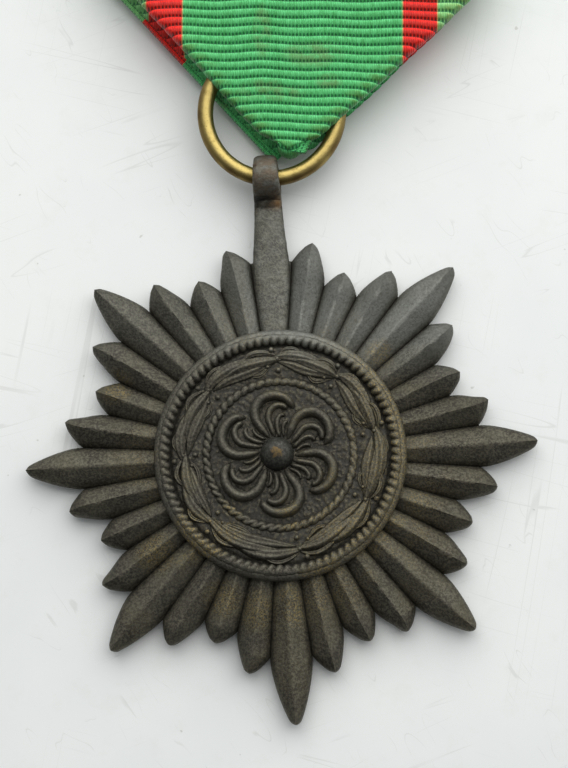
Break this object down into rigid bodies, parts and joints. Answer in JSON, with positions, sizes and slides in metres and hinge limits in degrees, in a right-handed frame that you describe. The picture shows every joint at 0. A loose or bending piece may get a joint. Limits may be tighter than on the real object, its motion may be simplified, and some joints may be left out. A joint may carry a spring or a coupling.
{
  "type": "service medal",
  "caption": "Rayed star service medal in dark bronze, hung by a wire ring from a striped ribbon folded to a point, with a pin brooch sewn on the back.",
  "frame": {"origin": "centre of the star's flat back, on the surface the medal lies on", "axes": "+Z out of the star's face, +Y along the ribbon towards its top, +X to the wearer's left as seen from the front"},
  "size_m": [0.04, 0.0881, 0.0057],
  "materials": {
    "dark_bronze": "dark patinated cast bronze, brassy where worn",
    "ring_brass": "tarnished brass wire",
    "ribbon_grosgrain": "ribbed silk grosgrain, green with red side stripes",
    "buckram": "stiffened linen",
    "brooch_steel": "dull nickel-plated steel",
    "sewing_thread": "waxed cotton"
  },
  "bodies": {
    "ribbon": {"ribbon": "ribbon_grosgrain", "ribbon_stiffener": "buckram", "brooch_bar": "brooch_steel", "pin_rivet": "brooch_steel", "pin_catch": "brooch_steel", "bar_stitches": "sewing_thread"},
    "suspension_ring": {"suspension_ring": "ring_brass"},
    "star": {"star": "dark_bronze", "centre_medallion": "dark_bronze", "centre_stud": "dark_bronze"},
    "brooch_pin": {"brooch_pin": "brooch_steel"}
  },
  "joints": [
    {"name": "ring_slide", "type": "slide", "parent": "ribbon", "child": "suspension_ring", "axis": [0, -0.9993, -0.0366], "range_m": [0, 0.0065]},
    {"name": "star_swing", "type": "hinge", "parent": "suspension_ring", "child": "star", "pos_m": [-0.00127, 0.02206, 0.0025], "axis": [-0.9983, -0.0576, 0], "range_deg": [0, 140]},
    {"name": "pin_open", "type": "hinge", "parent": "ribbon", "child": "brooch_pin", "pos_m": [-0.01042, 0.05944, 0.00097], "axis": [0, 0.0366, -0.9993], "range_deg": [0, 35]}
  ]
}
